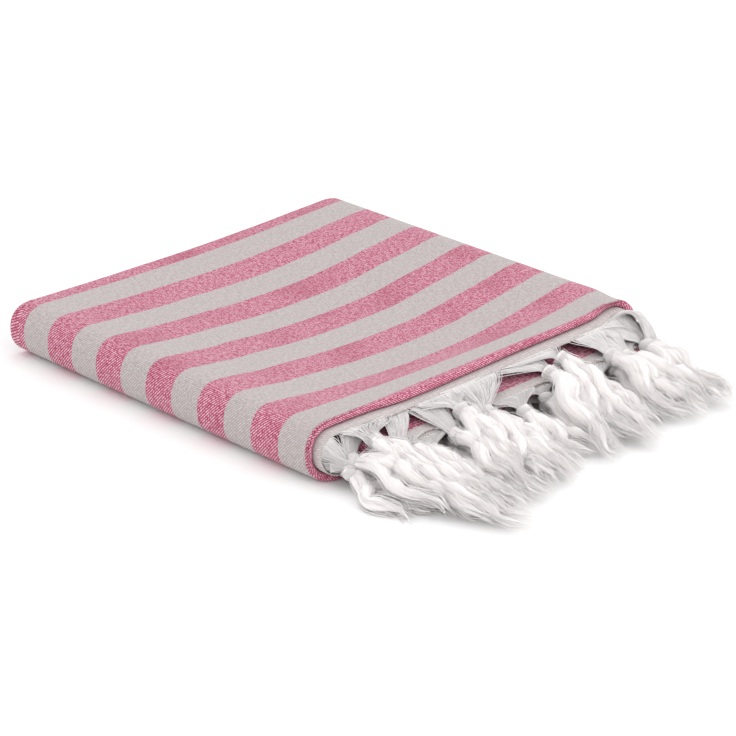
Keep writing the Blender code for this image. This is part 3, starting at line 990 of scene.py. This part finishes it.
    # A core fills the bundle, and fades out towards the tip
    values = {"Value": factor, "From Min": CORE_FADE_FROM, "From Max": CORE_FADE_TO}
    fade = maths("MULTIPLY", node("ShaderNodeMapRange", values).outputs[0], given["Core Fade"])
    size = maths("MULTIPLY", maths("MULTIPLY", radius, given["Core"]), maths("SUBTRACT", 1.0, fade))
    core = swept(sized_curve(given["Geometry"], size), ring_of(CORE_SIDES), CORE_FIBRES)
    wanted = node("FunctionNodeCompare", {0: given["Core"], 1: 0.0}, operation="GREATER_THAN")
    values = {"Switch": wanted.outputs[0], "True": core}
    choice = node("GeometryNodeSwitch", values, input_type="GEOMETRY")
    joined = node("GeometryNodeJoinGeometry", {0: yarns})
    w.fill(joined, {0: choice.outputs[0]})
    shaded = node("GeometryNodeSetShadeSmooth", {"Geometry": joined.outputs[0]})
    real = node("GeometryNodeRealizeInstances", {"Geometry": shaded.outputs[0]})
    values = {"Geometry": real.outputs[0], "Material": given["Material"]}
    w.fill(out, {0: node("GeometryNodeSetMaterial", values).outputs[0]})
    return w.tree


def bundle_piece(name, curve, tree, material, **inputs):
    """Runs the yarn tree on guide curves and keeps the result as a plain mesh."""
    curve.dimensions = "3D"
    guide = new_object(name + "_guide", curve)
    modifier = guide.modifiers.new("Yarns", "NODES")
    modifier.node_group = tree
    wanted = {key.replace("_", " ").title(): value for key, value in inputs.items()}
    wanted["Material"] = material
    for item in tree.interface.items_tree:
        if item.item_type == "SOCKET" and item.in_out == "INPUT" and item.name in wanted:
            modifier[item.identifier] = wanted[item.name]
    mesh = plain_mesh(guide)
    mesh.name = name
    bpy.data.curves.remove(curve)
    return mesh


def thick_web(mesh, yarn, material):
    """A web with its thickness, as a plain mesh."""
    obj = new_object("web", mesh)
    thicken(obj, yarn * 2)
    thick = plain_mesh(obj)
    thick.materials.append(material)
    bpy.data.meshes.remove(mesh)
    return thick


def joined_piece(name, meshes):
    """One object from several meshes."""
    parts = [new_object(f"{name}_{i}", mesh) for i, mesh in enumerate(meshes)]
    with bpy.context.temp_override(
        active_object=parts[0], object=parts[0], selected_editable_objects=parts
    ):
        bpy.ops.object.join()
    parts[0].name = name
    parts[0].data.name = name
    return parts[0]


def fringe_meshes(layer, hidden, settings, thickness, tree, looks):
    """The meshes of one end's shown or hidden tassels, as knots, strands and wisps."""
    rng = random.Random(layer + 100 * hidden)
    share = HIDDEN_SHARE if hidden else 1.0
    fans, wraps, locks, hairs = (
        bpy.data.curves.new(name, "CURVE") for name in ("fans", "wraps", "locks", "hairs")
    )
    webs = []
    for row in tassels_of(layer):
        if (row[0] in ("lower", "tucked")) != hidden:
            continue
        tassel = Tassel(row, layer, thickness)
        fan_guides(fans, tassel, int(settings.fan_yarns * share), rng)
        webs.append(fan_web(tassel, rng))
        wrap_guides(wraps, tassel, settings.wrap_radius, rng)
        state = rng.getstate()
        lock_guides(locks, tassel, settings.lock_radius, rng)
        rng.setstate(state)
        lock_guides(hairs, tassel, settings.lock_radius, rng)
    if not hidden:
        for row in LOOSE_THREADS[layer]:
            loose_guides(fans, row, rng)
    node, yarn = NODE_OF_LAYER[layer], settings.yarn
    knots = [thick_web(mesh, yarn, looks["web"]) for mesh in webs]
    knots.append(bundle_piece(
        node + "_fans", fans, tree, looks["fan"],
        yarns=1, yarn_radius=yarn, waviness=0.0016, wave_scale=170.0, seed=layer,
    ))
    knots.append(bundle_piece(
        node + "_wraps", wraps, tree, looks["knot"],
        yarns=int(18 * share), yarn_radius=yarn, spread=1.03, twist=60.0,
        waviness=0.0014, wave_scale=190.0, core=0.92, seed=layer + 10,
    ))
    strands = bundle_piece(
        node + "_locks", locks, tree, looks["white"],
        yarns=int(settings.lock_yarns * share), yarn_radius=yarn, spread=1.10,
        twist=settings.twist, waviness=0.0024, wave_scale=80.0, ragged=0.28,
        taper=0.4, flare=0.7, core=1.04, core_fade=1.0, seed=layer + 20,
    )
    wisps = bundle_piece(
        node + "_hairs", hairs, tree, looks["white"],
        yarns=int(settings.hairs * share), yarn_radius=settings.hair, spread=1.50,
        twist=12.0, waviness=0.0054, wave_scale=90.0, ragged=0.24, flare=0.7,
        seed=layer + 30,
    )
    return knots, [strands], [wisps]


# Materials


def twill_group():
    """Diagonal twill of two yarns, with slubs and flecks."""
    inputs = {"Vector": "NodeSocketVector", "Thread Pitch": 0.00036}
    outputs = {"Fleck": 0.0, "Height": 0.0, "Cloud": 0.0}
    w, given, out = new_tree("Twill", "ShaderNodeTree", inputs, outputs)
    place, pitch = given["Vector"], given["Thread Pitch"]
    split = w.node("ShaderNodeSeparateXYZ", {0: place}).outputs
    across, along = (w.maths("DIVIDE", split[i], pitch) for i in (0, 1))
    diagonal = w.maths("MULTIPLY", w.maths("ADD", across, along), math.pi / 2)
    twill = w.linear(w.maths("SINE", diagonal), 0.5, 0.5)
    thread = w.maths("ABSOLUTE", w.maths("SINE", w.maths("MULTIPLY", along, math.pi)))
    slub, weft = (
        w.noise(w.vector("MULTIPLY", place, stretch), 1.0, 3.0)
        for stretch in (SLUB_STRETCH, WEFT_STRETCH)
    )
    speckle = w.maths("ADD", w.maths("ADD", slub, weft), w.noise(place, 900.0, 2.0))
    speckle = w.ramp(w.maths("DIVIDE", speckle, 3.0), 0.44, 0.56)
    fleck = w.maths("MULTIPLY", w.ramp(twill, 0.10, 0.80), w.maths("ADD", speckle, 0.14), True)
    height = w.linear(twill, 0.6, w.maths("MULTIPLY", thread, 0.25))
    height = w.linear(speckle, 0.35, height)
    w.fill(out, {"Fleck": fleck, "Height": height, "Cloud": w.noise(place, 22.0, 3.0)})
    return w.tree


def cotton_group():
    """Fine fibres and a soft change of tone, for yarn and cloth alike."""
    inputs = {"Vector": "NodeSocketVector", "Scale": 1500.0}
    outputs = {"Tone": 0.0, "Height": 0.0}
    w, given, out = new_tree("Cotton fibre", "ShaderNodeTree", inputs, outputs)
    fine = w.noise(given["Vector"], given["Scale"], 3.0)
    wide = w.noise(given["Vector"], 70.0, 2.0)
    tone = w.linear(fine, 0.5, w.maths("MULTIPLY", wide, 0.5))
    w.fill(out, {"Tone": w.ramp(tone, 0.30, 0.70), "Height": fine})
    return w.tree


def finished_material(name):
    """A material with its Principled shader, ready to wire."""
    material = bpy.data.materials.new(name)
    material.use_nodes = True
    return material, material.node_tree.nodes["Principled BSDF"], Wiring(material.node_tree)


def weave_material(settings, twill, cotton):
    """Striped twill: pink or grey weft over a white warp."""
    material, shader, w = finished_material("striped_twill")
    uv = w.node("ShaderNodeUVMap", uv_map="weave").outputs[0]
    place = w.node("ShaderNodeAttribute", attribute_name="stripe_place").outputs["Fac"]
    values = {"Vector": uv, "Thread Pitch": settings.thread_pitch}
    weave = w.node("ShaderNodeGroup", values, node_tree=twill).outputs
    fibre = w.node("ShaderNodeGroup", {"Vector": uv, "Scale": 1800.0}, node_tree=cotton).outputs
    # Odd whole numbers of the stripe's place start a pink stripe
    swing = w.maths("SINE", w.maths("MULTIPLY", place, math.pi))
    jitter = w.maths("MULTIPLY", w.maths("SUBTRACT", fibre["Height"], 0.5), 0.05)
    is_grey = w.ramp(w.maths("ADD", swing, jitter), -0.03, 0.03)
    pink = w.mix(w.maths("MULTIPLY", weave["Fleck"], 0.85), settings.pink, settings.fleck)
    pink_dark = w.mix(0.5, settings.pink, DARK_PINK)
    pink = w.mix(w.maths("MULTIPLY", w.ramp(weave["Cloud"], 0.45, 0.75), 0.35), pink, pink_dark)
    grey = w.mix(weave["Fleck"], settings.grey, settings.grey_light)
    # Painted light: the grey bands at both ends, beyond the last pink stripe, are mixed towards a
    # light colour, to lift the shade that falls on them under the folds and the fringe
    painted_light_at_end = w.ramp(w.maths("ABSOLUTE", place), PAINTED_LIGHT_FROM_STRIPE, PAINTED_LIGHT_FROM_STRIPE + 0.04)
    grey = w.mix(w.maths("MULTIPLY", painted_light_at_end, PAINTED_LIGHT_SHARE), grey, settings.end_painted_light)
    relief = w.linear(fibre["Height"], 0.3, weave["Height"])
    bump = w.node("ShaderNodeBump", {"Height": relief, "Strength": 0.55, "Distance": 0.00022})
    w.fill(shader, {
        "Base Color": w.mix(is_grey, pink, grey),
        "Roughness": w.linear(fibre["Tone"], 0.08, 0.84),
        "Normal": bump.outputs[0],
        "Specular IOR Level": 0.25,
        "Sheen Weight": 0.18,
        "Sheen Roughness": 0.5,
    })
    return material


def yarn_material(name, white, cotton):
    """White cotton yarn, softly uneven, with fibres that run along it."""
    material, shader, w = finished_material(name)
    place = w.node("ShaderNodeAttribute", attribute_name="fibre").outputs["Vector"]
    fibre = w.node("ShaderNodeGroup", {"Vector": place, "Scale": 1500.0}, node_tree=cotton).outputs
    cloud = w.noise(w.node("ShaderNodeTexCoord").outputs["Object"], 90.0, 2.0)
    tone = w.maths("ADD", fibre["Tone"], w.maths("SUBTRACT", cloud, 0.5), True)
    values = {"Height": fibre["Height"], "Strength": 0.35, "Distance": 0.0004}
    bump = w.node("ShaderNodeBump", values)
    w.fill(shader, {
        "Base Color": w.mix(tone, [YARN_SHADE * c for c in white], white),
        "Roughness": w.linear(fibre["Tone"], 0.1, 0.88),
        "Normal": bump.outputs[0],
        "Diffuse Roughness": 1.0,
        "Specular IOR Level": 0.1,
        "Sheen Weight": 0.6,
    })
    return material


def shared_group(name, builder):
    """A node group made once and used again."""
    return bpy.data.node_groups.get(name) or builder()


# Operators


class TowelMakeCloth(bpy.types.Operator):
    """Make the folded, striped cloth"""

    bl_idname = "towel.make_cloth"
    bl_label = "Make Cloth"

    def execute(self, context):
        settings = context.scene.towel_cloth_settings
        cloth = new_object("towel_weave", cloth_mesh(settings))
        thicken(cloth, settings.thickness)
        cotton = shared_group("Cotton fibre", cotton_group)
        cloth.data.materials.append(weave_material(settings, twill_group(), cotton))
        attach(cloth, "root")
        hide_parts("towel_cloth")
        return {"FINISHED"}


class TowelMakeFringe(bpy.types.Operator):
    """Make the fans, knots and locks of yarn at both ends of the cloth"""

    bl_idname = "towel.make_fringe"
    bl_label = "Make Fringe"

    def execute(self, context):
        settings = context.scene.towel_fringe_settings
        thickness = context.scene.towel_cloth_settings.thickness
        cotton = shared_group("Cotton fibre", cotton_group)
        # Darker copies of the white yarn paint shade on the fans, the knots and the web under the
        # fans
        looks = {
            name: yarn_material(name + "_yarn", [tone * c for c in settings.white], cotton)
            for name, tone in YARN_PAINTED_SHADE.items()
        }
        tree = bundle_tree("Yarn bundle")
        for layer, node in NODE_OF_LAYER.items():
            shown, covered = (
                fringe_meshes(layer, hidden, settings, thickness, tree, looks)
                for hidden in (False, True)
            )
            for end, meshes, more in zip(PIECE_ENDS, shown, covered):
                piece = joined_piece(node + end, meshes + more)
                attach(piece, "root")
                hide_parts(node)
        return {"FINISHED"}


class TowelMakeStage(bpy.types.Operator):
    """Make the pale floor, the soft light and the camera"""

    bl_idname = "towel.make_stage"
    bl_label = "Make Stage"

    def execute(self, context):
        settings = context.scene.towel_stage_settings
        scene = context.scene
        scene.view_settings.view_transform = "Standard"
        mesh = bpy.data.meshes.new("floor")
        corners = [(x * FLOOR_HALF, y * FLOOR_HALF, 0) for x, y in FLOOR_CORNERS]
        mesh.from_pydata(corners, [], [(0, 1, 2, 3)])
        floor = new_object("floor", mesh)
        material, shader, w = finished_material("pale_floor")
        colour = (*settings.floor, 1.0)
        w.fill(shader, {"Base Color": colour, "Roughness": 0.9, "Specular IOR Level": 0.1})
        mesh.materials.append(material)

        world = bpy.data.worlds.new("studio")
        scene.world = world
        world.use_nodes = True
        background = world.node_tree.nodes["Background"]
        background.inputs["Color"].default_value = (1.0, 1.0, 1.0, 1.0)
        background.inputs["Strength"].default_value = WORLD_STRENGTH
        for name, place, power in LIGHTS:
            light = bpy.data.lights.new(name, "AREA")
            light.shape = "DISK"
            light.size = LIGHT_SIZE
            light.energy = power
            aim(new_object(name, light), place, Vector(LIGHT_AIM) - Vector(place))

        lens = bpy.data.cameras.new("camera")
        lens.lens = settings.lens
        lens.sensor_width = SENSOR_WIDTH
        lens.clip_start = 0.05
        cos_pitch = math.cos(settings.pitch)
        forward = Vector((
            math.cos(settings.yaw) * cos_pitch,
            math.sin(settings.yaw) * cos_pitch,
            -math.sin(settings.pitch),
        ))
        scene.camera = new_object("camera", lens)
        aim(scene.camera, settings.place, forward)
        return {"FINISHED"}


class TowelPanel(bpy.types.Panel):
    """The towel's sizes, colours and steps"""

    bl_idname = "VIEW3D_PT_towel"
    bl_label = "Towel"
    bl_space_type = "VIEW_3D"
    bl_region_type = "UI"
    bl_category = "Towel"

    def draw(self, context):
        scene = context.scene
        for group, operator in (
            (scene.towel_cloth_settings, TowelMakeCloth),
            (scene.towel_fringe_settings, TowelMakeFringe),
            (scene.towel_stage_settings, TowelMakeStage),
        ):
            box = self.layout.box()
            for key in group.bl_rna.properties.keys():
                if key not in ("rna_type", "name"):
                    box.prop(group, key)
            box.operator(operator.bl_idname)


CLASSES = (
    TowelClothSettings,
    TowelFringeSettings,
    TowelStageSettings,
    TowelMakeCloth,
    TowelMakeFringe,
    TowelMakeStage,
    TowelPanel,
)


def register():
    for cls in CLASSES:
        bpy.utils.register_class(cls)
    bpy.types.Scene.towel_cloth_settings = PointerProperty(type=TowelClothSettings)
    bpy.types.Scene.towel_fringe_settings = PointerProperty(type=TowelFringeSettings)
    bpy.types.Scene.towel_stage_settings = PointerProperty(type=TowelStageSettings)


def unregister():
    del bpy.types.Scene.towel_stage_settings
    del bpy.types.Scene.towel_fringe_settings
    del bpy.types.Scene.towel_cloth_settings
    for cls in reversed(CLASSES):
        bpy.utils.unregister_class(cls)


def main():
    register()
    bpy.ops.towel.make_stage()
    bpy.ops.towel.make_cloth()
    bpy.ops.towel.make_fringe()


if __name__ == "__main__":
    main()
